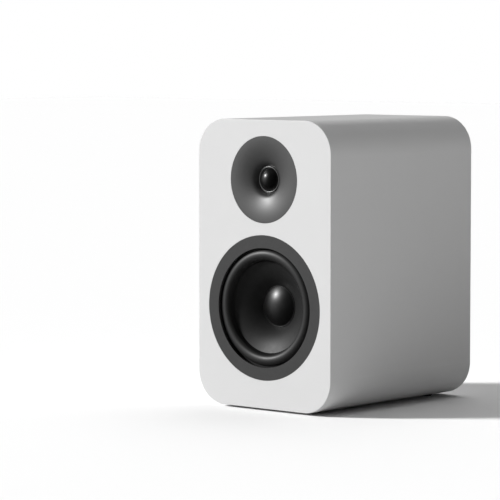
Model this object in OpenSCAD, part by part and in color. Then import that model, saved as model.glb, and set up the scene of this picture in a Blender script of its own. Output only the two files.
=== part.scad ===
// Two-way bass-reflex bookshelf speaker.
// Millimetres, +Z up, -Y is the front, origin on the shelf under the middle of the cabinet.

/* [Cabinet] */
// Width of the cabinet
body_w = 180; // [176:1:200]
// Height of the cabinet without its feet
body_h = 300; // [296:1:330]
// Depth of the cabinet
body_d = 238; // [232:1:280]
// Radius of the four long edges of the cabinet
corner_r = 35; // [28:1:40]
// Radius of the small round along the front and rear edges
edge_r = 0.8; // [0.4:0.1:2]
// Wall of the wrapped shell
wall_t = 15; // [12:1:15]
// Thickness of the front baffle
baffle_t = 22; // [20:1:25]
// Thickness of the rear panel
rear_t = 15; // [12:1:18]
// Height of the rubber feet
foot_h = 2.5; // [1.5:0.5:6]
// Radius of one foot
foot_r = 10; // [6:1:10]

/* [Woofer] */
// Height of the woofer's axis above the underside of the cabinet
woofer_up = 105; // [100:1:106]
// Radius of the woofer's flange, for a nominal 133 mm driver
woofer_flange_r = 75; // [74:0.5:76]
// Radius of the opening in the trim ring
trim_hole_r = 62.3; // [61.5:0.1:63]
// Radius to the middle of the surround's roll
roll_r = 54.9; // [54.6:0.1:55.2]
// Half the width of the surround's roll
roll_half_w = 6.1; // [5.6:0.1:6.2]
// Height of the surround's roll above its lip
roll_h = 4.8; // [4:0.1:5.6]
// Outer radius of the cone
cone_r = 47.6; // [46.5:0.1:47.8]
// Radius of the dust cap
dust_cap_r = 21.7; // [20:0.1:24]
// Height of the dust cap's dome
dust_cap_h = 6.3; // [5:0.1:8]
// Number of spokes in the basket
spokes = 8; // [6:1:10]

/* [Tweeter] */
// Height of the tweeter's axis above the underside of the cabinet
tweeter_up = 238; // [237:1:239]
// Radius of the waveguide's mouth
guide_r = 45; // [44:0.5:45.5]
// Depth of the waveguide's flare, before it rolls over into the throat
guide_depth = 5.6; // [5:0.1:8]
// Radius of the waveguide's throat
throat_r = 14.7; // [14.5:0.1:15]
// Radius of the tweeter's dome at its base
dome_r = 12; // [11.8:0.1:12.2]
// Height of the tweeter's dome
dome_h = 7; // [5:0.5:7.5]

/* [Rear] */
// Height of the port's axis above the underside of the cabinet
port_up = 215; // [210:1:220]
// Inner radius of the port
port_r = 19; // [17:0.5:20]
// Length of the port from its mouth to its inner end
port_len = 130; // [110:5:135]
// Height of the terminal cup's middle above the underside of the cabinet
cup_up = 88; // [86:1:95]
// Distance between the two binding posts, the standard for twin banana plugs
post_gap = 19.05; // [19:0.05:19.1]
// Radius of the socket in each binding post, for a 4 mm banana plug
socket_r = 2; // [1.95:0.05:2.05]

/* [Hidden] */
$fn = 96;
front_y = -body_d / 2;
woofer_z = foot_h + woofer_up;
tweeter_z = foot_h + tweeter_up;
port_z = foot_h + port_up;
cup_z = foot_h + cup_up;
inner_w = body_w - 2 * wall_t;
inner_h = body_h - 2 * wall_t;
inner_r = corner_r - wall_t;
floor_z = foot_h + wall_t;
glue = 0.1;                    // gap left for glue between fitted pieces

// Depths behind the front plane, for the woofer
trim_t = 2.5;
flange_back = 9;
gasket_t = 1.5;
rebate_d = flange_back + gasket_t;
rebate_r = woofer_flange_r + 0.65;
cutout_r = 62.5;
lip_d = 5.8;                   // front of the surround's flat lip
lip_t = 0.7;
lip_r = 64.5;
skin_t = 0.8;                  // cone, surround and dome wall
cone_d = 8.3;                  // outer edge of the cone
cone_slope = 0.4;              // slope of the cone at its outer edge
cone_curve = 0.00038;          // how fast the flank steepens inwards
neck_slope = 0.9;              // slope of the straight part under the dust cap
coil_r = 12.7;                 // a 25.4 mm voice coil
neck_d = 33;
spider_d = 36.2;
spider_r = 41;
plate_d = 47;                  // front of the top plate
plate_t = 5;
magnet_t = 14;
yoke_t = 5;
motor_r = 44;
woofer_screw_r = 69.5;
woofer_screws_n = 6;
trim_peg_r = 69.5;

// Depths behind the front plane, for the tweeter
tweeter_plate_d = 10.2;        // front of the motor's top plate, where the waveguide ends
guide_flare = 2.2;
throat_roll = 20;              // how tightly the flare rolls over into the throat
throat_d = tweeter_plate_d - 0.7;
guide_skin = 3;
seat_d = 10;                   // front of the waveguide's fixing flange
seat_t = 4;
seat_r = 55.5;
seat_half = 46;
tweeter_screw = 35.5;          // the screws' distance from the axis along X and along Z
bead_r = 13.05;
bead_half_w = 0.8;
bead_h = 0.8;
bead_d = tweeter_plate_d - 0.9;
dome_d = tweeter_plate_d - 0.7;
tweeter_coil_r = 12.45;
tweeter_motor_r = 34;

// Depths behind the front plane, for the rear
rear_d = body_d - rear_t;
cup_floor = 212;
cup_t = 2.5;
cup_w = 56;
cup_h = 40;
plate_w = 84;
plate_h = 64;
cup_screw = [36.5, 26.5];
post_r = 3.2;
post_back = 202;
post_tip = 231;
washer_d = 214.6;
washer_t = 2;
knob_d = washer_d + washer_t + 0.05;
knob_end = 232;
knob_r = 6.5;
knob_flutes = 18;
port_flange_r = 36;
port_body_r = 31;
port_in_d = body_d - port_len;

// Crossover and bracing
brace_d = 84;
brace_t = 12;
brace_rim = 16;
cross_bar = [172, 188];        // lower and upper edge of the brace's bar above the shelf
board = [100, 80, 1.6];
board_d = 112;                 // front edge of the board
board_z = floor_z + 6;
board_top = board_z + board.z;
board_hole = 5;                // from each edge of the board to its screws
wire_r = 1.1;

// ---- placing and shaping helpers ----

// Local Z becomes the depth behind the front plane, on an axis at the given x and height.
module from_front(z, x = 0) {
    translate([x, front_y, z]) rotate([-90, 0, 0]) children();
}

// The same on the tweeter's axis, from the front of its top plate.
module from_tweeter_plate() {
    from_front(tweeter_z) translate([0, 0, tweeter_plate_d]) children();
}

// A solid of revolution whose outline is [radius, depth] points.
module turned(points) {
    rotate_extrude() polygon(points);
}

module ring(outer, inner, d0, d1) {
    translate([0, 0, d0]) difference() {
        cylinder(r = outer, h = d1 - d0);
        translate([0, 0, -1]) cylinder(r = inner, h = d1 - d0 + 2);
    }
}

module rounded_rect(w, h, r) {
    square([w - 2 * r, h], center = true);
    square([w, h - 2 * r], center = true);
    for (sx = [-1, 1], sy = [-1, 1])
        translate([sx * (w / 2 - r), sy * (h / 2 - r)]) circle(r = r);
}

// A rounded slab across the cabinet between two depths, centred at a height above the shelf.
module slab(w, h, r, d0, d1, z) {
    from_front(z) translate([0, 0, d0]) linear_extrude(d1 - d0) rounded_rect(w, h, r);
}

// A strip as wide as w and as deep as d, with its two corners at y = 0 rounded.
module rounded_strip(w, d, edge) {
    translate([edge - w / 2, 0]) square([w - 2 * edge, d]);
    translate([-w / 2, edge]) square([w, d - edge]);
    for (s = [-1, 1]) translate([s * (w / 2 - edge), edge]) circle(r = edge);
}

// The cabinet's outline from its local face at 0 inwards, with a small round along that face.
module soft_slab(w, h, r, d, edge) {
    rotate([90, 0, 0]) linear_extrude(h - 2 * r, center = true) rounded_strip(w, d, edge);
    rotate([90, 0, 90]) linear_extrude(w - 2 * r, center = true) rounded_strip(h, d, edge);
    for (a = [0, 180], s = [0, 1]) rotate(a) mirror([s, 0, 0]) translate([w / 2 - r, h / 2 - r, 0])
        rotate_extrude(angle = 90) intersection() {
            rounded_strip(2 * r, d, edge);
            square([r, d]);
        }
}

module around(n, r, start = 0) {
    for (i = [0 : n - 1]) rotate(start + 360 * i / n) translate([r, 0, 0]) children();
}

module at_corners(x, y) {
    for (sx = [-1, 1], sy = [-1, 1]) translate([sx * x, sy * y, 0]) children();
}

function unit(v) = v / norm(v);

function arc_points(cx, cy, rx, ry, from, to, n) =
    [for (i = [0 : n]) let (a = from + (to - from) * i / n) [cx + rx * cos(a), cy + ry * sin(a)]];

// A flat-bottomed skin between an outline and the same outline moved along the axis.
function skin(front, t) =
    concat(front, [for (i = [len(front) - 1 : -1 : 0]) [front[i][0], front[i][1] + t]]);

function spline(p0, p1, p2, p3, t) =
    0.5 * (2 * p1 + (p2 - p0) * t + (2 * p0 - 5 * p1 + 4 * p2 - p3) * t * t
    + (3 * p1 - p0 - 3 * p2 + p3) * t * t * t);

function smooth_path(p, n) = concat(
    [for (i = [0 : len(p) - 2], k = [0 : n - 1])
        spline(p[max(i - 1, 0)], p[i], p[i + 1], p[min(i + 2, len(p) - 1)], k / n)],
    [p[len(p) - 1]]);

function tangents(p) =
    [for (i = [0 : len(p) - 1]) unit(p[min(i + 1, len(p) - 1)] - p[max(i - 1, 0)])];

// Carries a sideways direction along the path without twisting it.
function carried(ts, u, i = 0) = i == len(ts) ? [] :
    let (n = unit(u - ts[i] * (u * ts[i]))) concat([n], carried(ts, n, i + 1));

// A round wire of radius r through the points of a path.
module wire(points, r = wire_r, sides = 8, steps = 4) {
    path = smooth_path(points, steps);
    ts = tangents(path);
    us = carried(ts, cross(ts[0], [0.31, 0.52, 0.79]));
    last = len(path) - 1;
    rim = [for (i = [0 : last], k = [0 : sides - 1])
        let (a = 360 * k / sides) path[i] + r * (cos(a) * us[i] + sin(a) * cross(ts[i], us[i]))];
    sides_faces = [for (i = [0 : last - 1], k = [0 : sides - 1])
        let (m = (k + 1) % sides)
        [i * sides + k, (i + 1) * sides + k, (i + 1) * sides + m, i * sides + m]];
    triangles = [for (f = sides_faces, h = [[0, 1, 2], [0, 2, 3]]) [f[h[0]], f[h[1]], f[h[2]]]];
    polyhedron(rim, concat(
        triangles,
        [[for (k = [0 : sides - 1]) k]],
        [[for (k = [sides - 1 : -1 : 0]) last * sides + k]]), convexity = 6);
}

// The space a countersunk or flat-headed screw takes up, its head's top at 0, pointing along +Z.
module screw_room(head_r, head_h, shank_r, length, countersunk = false) {
    cylinder(r1 = head_r, r2 = countersunk ? shank_r : head_r, h = head_h);
    cylinder(r = shank_r, h = length);
}

// The same screw with a cross recess in its head.
module screw(head_r, head_h, shank_r, length, countersunk = false) {
    arm = head_r * 0.62;
    recess = head_h * 0.65;
    difference() {
        screw_room(head_r, head_h, shank_r, length, countersunk);
        for (a = [0, 90]) rotate(a) translate([-arm, -0.4, -0.1]) cube([2 * arm, 0.8, recess + 0.1]);
    }
}

module hex_nut(across, bore, h) {
    difference() {
        cylinder(r = across / sqrt(3), h = h, $fn = 6);
        translate([0, 0, -1]) cylinder(r = bore, h = h + 2);
    }
}

// ---- cabinet ----

module cabinet_shell() {
    color("white") difference() {
        from_front(foot_h + body_h / 2) translate([0, 0, body_d]) mirror([0, 0, 1])
            soft_slab(body_w, body_h, corner_r, body_d - baffle_t, edge_r);
        slab(inner_w, inner_h, inner_r, baffle_t - 1, body_d + 1, foot_h + body_h / 2);
    }
}

// The opening behind the waveguide: a disc cut off square so that it clears the shell.
module seat_outline(r, half) {
    intersection() {
        circle(r = r);
        square(2 * half, center = true);
    }
}

module front_baffle() {
    color("white") difference() {
        from_front(foot_h + body_h / 2) soft_slab(body_w, body_h, corner_r, baffle_t, edge_r);
        from_front(woofer_z) {
            translate([0, 0, -1]) cylinder(r = rebate_r, h = rebate_d + 1);
            cylinder(r = cutout_r, h = baffle_t + 1);
            around(woofer_screws_n, woofer_screw_r, 30) cylinder(r = 1.8, h = baffle_t - 1);
        }
        from_front(tweeter_z) {
            translate([0, 0, -1]) cylinder(r = guide_r + 0.2, h = baffle_t);
            translate([0, 0, seat_d - 1]) linear_extrude(baffle_t)
                seat_outline(seat_r + 0.5, seat_half + 0.5);
            at_corners(tweeter_screw, tweeter_screw) translate([0, 0, 3]) cylinder(r = 1.8, h = 8);
        }
    }
}

module rear_panel() {
    color("white") difference() {
        slab(inner_w - 2 * glue, inner_h - 2 * glue, inner_r - glue, rear_d, body_d,
            foot_h + body_h / 2);
        from_front(port_z) {
            cylinder(r = port_body_r + glue, h = body_d + 1);
            translate([0, 0, body_d - cup_t]) cylinder(r = port_flange_r + glue, h = 5);
        }
        slab(cup_w + 2 * cup_t + 1, cup_h + 2 * cup_t + 1, 6.5, rear_d - 1, body_d + 1, cup_z);
        slab(plate_w + 2 * glue, plate_h + 2 * glue, 8, body_d - cup_t - 0.8, body_d + 1, cup_z);
        from_front(cup_z) at_corners(cup_screw.x, cup_screw.y)
            translate([0, 0, rear_d + 2]) cylinder(r = 1.6, h = rear_t);
    }
}

module window_brace() {
    mid = foot_h + body_h / 2;
    sill = floor_z + brace_rim;
    head = foot_h + body_h - wall_t - brace_rim;
    window_w = inner_w - 2 * brace_rim;
    color("burlywood") difference() {
        slab(inner_w - 2 * glue, inner_h - 2 * glue, inner_r - glue, brace_d, brace_d + brace_t, mid);
        slab(window_w, cross_bar[0] - sill, 10, brace_d - 1, brace_d + brace_t + 1,
            (cross_bar[0] + sill) / 2);
        slab(window_w, head - cross_bar[1], 10, brace_d - 1, brace_d + brace_t + 1,
            (head + cross_bar[1]) / 2);
    }
}

// A stick-on pad with a bevelled lower edge.
module foot(side, end) {
    x = side * (body_w / 2 - corner_r - foot_r - 1);
    y = end * (body_d / 2 - foot_r - 14);
    color("dimgray") translate([x, y, 0]) turned(
        [[0, 0], [foot_r - 0.6, 0], [foot_r, 0.6], [foot_r, foot_h], [0, foot_h]]);
}

// Felt laid against one side wall, behind the brace.
module wadding(side) {
    t = 9;
    length = body_d - rear_t - brace_d - brace_t - 14;
    color("lightgray") translate([side * (inner_w / 2 - t / 2 - 0.3),
        front_y + brace_d + brace_t + 6 + length / 2, foot_h + body_h / 2])
        cube([t, length, inner_h - 2 * inner_r - 6], center = true);
}

// ---- woofer ----

module woofer_trim_ring() {
    color("dimgray") from_front(woofer_z) {
        ring(woofer_flange_r + 0.5, trim_hole_r, 0, trim_t);
        around(3, trim_peg_r) translate([0, 0, trim_t - 0.1]) cylinder(r = 1.4, h = 2);
    }
}

module basket_spoke() {
    w = 11;
    rotate([90, 0, 0]) translate([0, 0, -w / 2]) linear_extrude(w) polygon([
        [57.6, 8], [60.8, 8], [60.8, 13], [46, 41], [40, 41], [40, 37], [41.6, 37], [41.6, 35.5]]);
}

module woofer_basket() {
    color("black") from_front(woofer_z) difference() {
        union() {
            turned([[58.6, lip_d + lip_t], [lip_r + 0.3, lip_d + lip_t], [lip_r + 0.3, trim_t],
                [woofer_flange_r, trim_t], [woofer_flange_r, flange_back],
                [60.8, flange_back], [60.8, 13], [57.6, 13], [57.6, lip_d + 1.8]]);
            for (i = [0 : spokes - 1]) rotate(360 * (i + 0.5) / spokes) basket_spoke();
            turned([[37.2, spider_d + 0.6], [44, spider_d + 0.6], [44, plate_d], [22, plate_d],
                [22, plate_d - 3], [40, plate_d - 3], [40, 40], [37.2, 40]]);
        }
        around(woofer_screws_n, woofer_screw_r, 30) {
            cylinder(r = 1.9, h = 10);
            translate([0, 0, trim_t]) cylinder(r1 = 3.5, r2 = 1.9, h = 1.8);
        }
        around(3, trim_peg_r) cylinder(r = 1.5, h = 10);
    }
}

module woofer_gasket() {
    color("black") from_front(woofer_z) difference() {
        ring(woofer_flange_r, cutout_r + 0.2, flange_back, rebate_d);
        around(woofer_screws_n, woofer_screw_r, 30) cylinder(r = 2, h = rebate_d + 1);
    }
}

module woofer_screws() {
    color("black") from_front(woofer_z) around(woofer_screws_n, woofer_screw_r, 30)
        translate([0, 0, trim_t + 0.05]) screw(3.3, 1.7, 1.75, 17, countersunk = true);
}

module woofer_top_plate() {
    color("silver") from_front(woofer_z) ring(motor_r, coil_r + 1.1, plate_d, plate_d + plate_t);
}

module woofer_magnet() {
    color("darkslategray") from_front(woofer_z)
        ring(motor_r + 1, 22, plate_d + plate_t, plate_d + plate_t + magnet_t);
}

// Back plate and pole in one turned piece, vented through the middle.
module woofer_yoke() {
    back = plate_d + plate_t + magnet_t;
    pole = coil_r - 0.5;
    color("silver") from_front(woofer_z) turned([
        [5, plate_d], [pole - 0.6, plate_d], [pole, plate_d + 0.6], [pole, back], [motor_r - 1, back],
        [motor_r, back + 1], [motor_r, back + yoke_t], [9, back + yoke_t], [5, back + 1]]);
}

// A fibre strip on the basket's back ring with two spade tabs.
module woofer_terminal_strip() {
    from_front(woofer_z) rotate(180) translate([0, 0, 40]) {
        color("sienna") translate([44.05, -11, -2]) cube([3, 22, 8]);
        color("gold") for (s = [-1, 1]) translate([47.05, s * 6 - 2.4, 0.5]) cube([8, 4.8, 0.8]);
    }
}

// Nearly straight at the edge, steeper inwards, and straight again under the dust cap.
function cone_depth(r) = let (
        knee = dust_cap_r - 1,
        u = cone_r - max(r, knee))
    cone_d + cone_slope * u + cone_curve * u * u * u + neck_slope * max(0, knee - r);

function cone_line(r0, r1, n) = [for (i = [0 : n]) let (r = r0 + (r1 - r0) * i / n) [r, cone_depth(r)]];

module woofer_cone() {
    color("#222222") from_front(woofer_z) turned(concat(
        skin(concat(cone_line(cone_r, dust_cap_r - 1, 20), cone_line(dust_cap_r - 1, coil_r + 0.5, 1)),
            skin_t),
        [[cone_r, cone_d + skin_t]]));
    color("#222222") from_front(woofer_z) ring(coil_r + 0.9, coil_r, neck_d - 1, neck_d + 2.2);
}

cap_rim_steps = 8;

// A shallow dome inside a narrow rolled rim that stands on the cone.
function cap_line(n) = let (
        rim_r = 0.5,
        base = cone_depth(dust_cap_r),
        foot = base - 0.35,
        dome_edge = dust_cap_r - 2 * rim_r,
        rs = (dome_edge * dome_edge + dust_cap_h * dust_cap_h) / (2 * dust_cap_h),
        tilt = asin(dome_edge / rs))
    concat([[dust_cap_r, base - 0.05]],
        [for (p = arc_points(dust_cap_r - rim_r, foot, rim_r, rim_r, 0, 180, cap_rim_steps))
            [p[0], 2 * foot - p[1]]],
        [for (i = [1 : n]) let (a = tilt * (1 - i / n))
            [rs * sin(a), foot - dust_cap_h + rs * (1 - cos(a))]]);

module woofer_dust_cap() {
    line = cap_line(16);
    apex = len(line) - 1;
    color("black") from_front(woofer_z) turned(concat(
        line, [[0, line[apex][1] + skin_t]],
        [for (i = [apex - 1 : -1 : cap_rim_steps + 2]) [line[i][0] * 0.985, line[i][1] + skin_t]],
        [[dust_cap_r - 0.4, line[0][1]]]));
}

function roll_line(n) =
    [for (p = arc_points(roll_r, lip_d, roll_half_w, roll_h, 0, 180, n)) [p[0], 2 * lip_d - p[1]]];

// Flat lip on the basket, half roll, then a skirt that turns in behind the edge of the cone.
module woofer_surround() {
    roll = roll_line(20);
    under = [for (p = arc_points(roll_r, lip_d, roll_half_w - lip_t, roll_h - lip_t, 180, 0, 20))
        [p[0], 2 * lip_d + lip_t - p[1]]];
    tuck_r = cone_r - 3;
    edge = cone_d + skin_t + 0.05;
    tuck = cone_depth(tuck_r) + skin_t + 0.05;
    color("#181818") from_front(woofer_z) turned(concat(
        [[lip_r, lip_d]], roll,
        [[cone_r + 0.15, cone_d - 0.3], [cone_r + 0.15, edge], [tuck_r, tuck],
        [tuck_r, tuck + 0.5], [cone_r + 0.8, edge + 0.5]],
        under, [[lip_r, lip_d + lip_t]]));
}

// Corrugated cloth disc that centres the coil.
module woofer_spider() {
    waves = 5;
    n = waves * 8;
    inner = coil_r + 0.75;
    outer = spider_r - 4;
    line = [for (i = [0 : n]) [inner + (outer - inner) * i / n,
        spider_d + 1.5 * sin(360 * waves * i / n) * sin(180 * i / n)]];
    color("peru") from_front(woofer_z) {
        turned(concat(skin(line, 0.5), [[inner, spider_d + 0.5]]));
        ring(spider_r, outer - 0.01, spider_d, spider_d + 0.5);
        ring(inner + 0.01, coil_r, spider_d - 0.8, spider_d + 1.4);
    }
}

module woofer_coil_former() {
    color("silver") from_front(woofer_z) ring(coil_r, coil_r - 0.15, neck_d - 2, 56);
}

module woofer_voice_coil() {
    color("chocolate") from_front(woofer_z) ring(coil_r + 0.6, coil_r, 44, 55);
}

module woofer_tinsel_leads() {
    color("chocolate") for (s = [-1, 1]) from_front(woofer_z) rotate(180)
        wire([[45.5, s * 6, 37.9], [45, s * 6, 33], [39, s * 6, 27.5], [29, s * 5.8, 25.5],
            [25, s * 5.6, 24.6], [24.2, s * 5.4, 23.4]], r = 0.45, sides = 6);
}

// ---- tweeter ----

function guide_depth_at(r) = let (
        x = (guide_r - r) / (guide_r - throat_r))
    guide_depth * pow(x, guide_flare) + (throat_d - guide_depth) * pow(x, throat_roll);

// Outline points from r0 to r1, moved back by t. An ease above 1 gathers them towards r1.
function guide_line(r0, r1, n, t = 0, ease = 1) =
    [for (i = [0 : n]) let (r = r1 + (r0 - r1) * pow(1 - i / n, ease)) [r, guide_depth_at(r) + t]];

module tweeter_waveguide() {
    wall_r = guide_r - 2.8;
    color("dimgray") from_front(tweeter_z) difference() {
        union() {
            turned(concat(
                guide_line(guide_r, throat_r, 26, ease = 1.5),
                [[throat_r, tweeter_plate_d - 0.4], [16.8, tweeter_plate_d - 0.4], [16.8, tweeter_plate_d],
                [24, tweeter_plate_d]],
                guide_line(24, wall_r, 12, guide_skin),
                [[wall_r, seat_d + seat_t], [guide_r, seat_d + seat_t]]));
            translate([0, 0, seat_d]) linear_extrude(seat_t) difference() {
                seat_outline(seat_r, seat_half);
                circle(r = guide_r - 1);
            }
        }
        at_corners(tweeter_screw, tweeter_screw) cylinder(r = 1.9, h = 30);
    }
}

module tweeter_gasket() {
    color("black") from_front(tweeter_z) difference() {
        translate([0, 0, seat_d - 1]) linear_extrude(0.95) difference() {
            seat_outline(seat_r, seat_half);
            circle(r = guide_r + 0.2);
        }
        at_corners(tweeter_screw, tweeter_screw) cylinder(r = 2, h = 30);
    }
}

module tweeter_screws() {
    color("black") from_front(tweeter_z) at_corners(tweeter_screw, tweeter_screw)
        translate([0, 0, seat_d + seat_t + 2.05]) rotate([180, 0, 0]) screw(3.2, 2, 1.75, 12);
}

module tweeter_top_plate() {
    color("silver") from_tweeter_plate() ring(tweeter_motor_r, tweeter_coil_r + 0.9, 0, 4);
}

module tweeter_magnet() {
    color("darkslategray") from_tweeter_plate() ring(tweeter_motor_r + 1, 18, 4, 16);
}

module tweeter_yoke() {
    color("silver") from_tweeter_plate()
        turned([[4, 0.4], [11.8, 0.4], [11.8, 16], [tweeter_motor_r, 16], [tweeter_motor_r, 20], [4, 20]]);
}

// Sealed cup behind the vented pole.
module tweeter_rear_chamber() {
    color("black") from_tweeter_plate()
        turned([[0, 35], [24, 35], [26, 33], [26, 20], [24, 20], [24, 32.2], [23.2, 33], [0, 33]]);
}

module tweeter_terminals() {
    from_tweeter_plate() rotate(90) {
        color("black") translate([tweeter_motor_r + 1.1, -9, 6]) cube([4, 18, 9]);
        color("gold") for (s = [-1, 1])
            translate([tweeter_motor_r + 2.7, s * 5 - 1.4, 15]) cube([0.8, 2.8, 6]);
    }
}

// A spherical cap skin that ends in a short cylindrical skirt glued round the former.
module tweeter_dome() {
    rs = (dome_r * dome_r + dome_h * dome_h) / (2 * dome_h);
    rim = asin(dome_r / rs);
    t = 0.35;
    line = [for (i = [0 : 16]) let (a = rim * (1 - i / 16))
        [rs * sin(a), dome_d - dome_h + rs * (1 - cos(a))]];
    color("black") from_front(tweeter_z) turned(concat(
        [[tweeter_coil_r - 0.3, dome_d]], line, [[0, line[16][1] + t]],
        [for (i = [15 : -1 : 0]) [line[i][0] * 0.975, line[i][1] + t]],
        [[tweeter_coil_r - 0.3, dome_d + t]]));
}

module tweeter_surround() {
    t = 0.3;
    over = [for (p = arc_points(bead_r, bead_d, bead_half_w, bead_h, 0, 180, 12))
        [p[0], 2 * bead_d - p[1]]];
    under = [for (p = arc_points(bead_r, bead_d, bead_half_w - t, bead_h - t, 180, 0, 12))
        [p[0], 2 * bead_d + t - p[1]]];
    color("black") from_front(tweeter_z) turned(concat(
        [[16.6, bead_d + 0.6], [13.95, bead_d + 0.6]], over,
        [[bead_r - bead_half_w, bead_d + t]], under,
        [[13.7, bead_d + 0.85], [16.6, bead_d + 0.85]]));
}

module tweeter_coil_former() {
    color("silver") from_tweeter_plate()
        ring(tweeter_coil_r, tweeter_coil_r - 0.12, -0.3, 6);
}

module tweeter_voice_coil() {
    color("chocolate") from_tweeter_plate() ring(tweeter_coil_r + 0.35, tweeter_coil_r, 0.6, 3.8);
}

// ---- crossover ----

// Local origin on top of the board, at its front edge in the middle.
module on_board(x, y) {
    translate([x, front_y + board_d + y, board_top]) children();
}

module board_corners() {
    translate([0, front_y + board_d + board.y / 2, 0])
        at_corners(board.x / 2 - board_hole, board.y / 2 - board_hole) children();
}

module crossover_board() {
    color("darkgreen") difference() {
        translate([-board.x / 2, front_y + board_d, board_z]) cube(board);
        board_corners() translate([0, 0, board_z - 1]) cylinder(r = 1.8, h = 5);
    }
}

module board_standoffs() {
    color("white") board_corners() translate([0, 0, floor_z]) ring(4, 1.8, 0, board_z - floor_z);
}

module board_screws() {
    color("silver") board_corners() translate([0, 0, board_top + 2.05]) rotate([180, 0, 0])
        screw(3.1, 2, 1.5, 9.6);
}

// A coil wound on a flanged bobbin, standing on its end.
module wound_coil(r, core, h) {
    color("ivory") {
        ring(r, core, 0, 1.5);
        ring(r, core, h - 1.5, h);
        ring(core + 1.5, core, 1.4, h - 1.4);
    }
    color("chocolate") ring(r - 1.5, core + 1.5, 1.5, h - 1.5);
}

module woofer_inductor() {
    on_board(-25, 26) wound_coil(19, 8, 18);
}

module tweeter_inductor() {
    on_board(26, 54) translate([0, 0, 12.5]) rotate([0, 90, 0]) translate([0, 0, -8])
        wound_coil(12.5, 5, 16);
}

// A film capacitor lying on the board, with two leads bent down to it.
module film_capacitor(r, length) {
    color("gold") translate([0, 0, r]) rotate([0, 90, 0]) translate([0, 0, -length / 2])
        turned([[0, 0], [r - 1, 0], [r, 1], [r, length - 1], [r - 1, length], [0, length]]);
    color("silver") for (s = [-1, 1]) translate([s * (length / 2 + 1.5), 0, 0]) {
        cylinder(r = 0.4, h = r);
        translate([s < 0 ? -0.4 : -1.5, 0, r]) rotate([0, 90, 0]) cylinder(r = 0.4, h = 1.9);
    }
}

module tweeter_capacitor() {
    on_board(22, 14) film_capacitor(8, 34);
}

module woofer_capacitor() {
    on_board(-24, 60) film_capacitor(9.5, 38);
}

module crossover_resistors() {
    color("linen") for (y = [29, 38]) on_board(24, y - 1.5) translate([-11, -3.5, 0]) cube([22, 7, 7.5]);
}

// ---- rear fittings ----

module terminal_cup() {
    color("black") difference() {
        union() {
            slab(plate_w, plate_h, 7.9, body_d - cup_t, body_d, cup_z);
            slab(cup_w + 2 * cup_t, cup_h + 2 * cup_t, 6, cup_floor - cup_t, body_d, cup_z);
        }
        slab(cup_w, cup_h, 4, cup_floor, body_d + 1, cup_z);
        from_front(cup_z) {
            at_corners(cup_screw.x, cup_screw.y) translate([0, 0, body_d + 0.2]) rotate([180, 0, 0])
                screw_room(3.4, 1.9, 1.7, 6, countersunk = true);
            for (s = [-1, 1]) translate([s * post_gap / 2, 0, cup_floor - 5]) cylinder(r = 3.3, h = 10);
        }
    }
}

module terminal_gasket() {
    color("dimgray") difference() {
        slab(plate_w - 1, plate_h - 1, 7.4, body_d - cup_t - 0.75, body_d - cup_t, cup_z);
        slab(cup_w + 2 * cup_t + 0.4, cup_h + 2 * cup_t + 0.4, 6.2, body_d - 5, body_d, cup_z);
        from_front(cup_z) at_corners(cup_screw.x, cup_screw.y)
            translate([0, 0, body_d - 5]) cylinder(r = 1.8, h = 6);
    }
}

module terminal_screws() {
    color("black") from_front(cup_z) at_corners(cup_screw.x, cup_screw.y)
        translate([0, 0, body_d - 0.05]) rotate([180, 0, 0])
            screw(3, 1.6, 1.45, 12, countersunk = true);
}

// Gold-plated stud: collar on the cup's floor, banana socket in its tip, cross hole for bare wire.
module binding_post(side) {
    color("gold") from_front(cup_z, side * post_gap / 2) difference() {
        union() {
            cylinder(r = post_r, h = post_tip);
            translate([0, 0, cup_floor]) cylinder(r = 5.6, h = washer_d - cup_floor - 0.1);
        }
        translate([0, 0, -1]) cylinder(r = 20, h = post_back + 1);
        translate([0, 0, post_tip - 12.5]) cylinder(r = socket_r, h = 20);
        translate([0, 0, 216.2]) rotate([90, 0, 0]) cylinder(r = 1.2, h = 20, center = true);
    }
}

module post_nuts() {
    color("silver") for (s = [-1, 1]) from_front(cup_z, s * post_gap / 2)
        translate([0, 0, cup_floor - cup_t - 3.6]) hex_nut(10, post_r + 0.05, 3.5);
}

module clamp_washer(side) {
    color("gold") from_front(cup_z, side * post_gap / 2)
        ring(5.6, post_r + 0.05, washer_d, washer_d + washer_t);
}

function flute_outline(r, depth, n) =
    [for (i = [0 : n * 8 - 1]) let (a = 360 * i / (n * 8)) (r + depth * cos(n * a)) * [cos(a), sin(a)]];

// A fluted cap that threads down the post, open at its end for a banana plug.
module post_knob(side) {
    color(side < 0 ? "firebrick" : "black") from_front(cup_z, side * post_gap / 2) difference() {
        union() {
            ring(knob_r - 0.7, 1, knob_d, knob_d + 2.1);
            translate([0, 0, knob_d + 2]) linear_extrude(10.5)
                polygon(flute_outline(knob_r - 0.25, 0.25, knob_flutes));
            translate([0, 0, knob_d + 12.4])
                cylinder(r1 = knob_r - 0.7, r2 = knob_r - 1.7, h = knob_end - knob_d - 12.4);
        }
        translate([0, 0, 200]) cylinder(r = post_r + 0.05, h = post_tip + 0.25 - 200);
        translate([0, 0, 210]) cylinder(r = socket_r + 0.5, h = 30);
    }
}

// Flange, flared mouth and the socket that takes the tube.
module port_mouth() {
    flare = arc_points(port_r + 11, body_d - 14, -11, 14, 0, 90, 12);
    color("black") from_front(port_z) turned(concat(flare, [
        [port_flange_r - 0.5, body_d], [port_flange_r, body_d - 0.5], [port_flange_r, body_d - cup_t],
        [port_body_r, body_d - cup_t], [port_body_r, rear_d], [port_r + 5, rear_d],
        [port_r + 5, rear_d - 11], [port_r + 2.05, rear_d - 11], [port_r + 2.05, body_d - 14]]));
}

module port_tube() {
    color("black") from_front(port_z) ring(port_r + 2, port_r, port_in_d + 10, body_d - 14.05);
}

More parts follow.
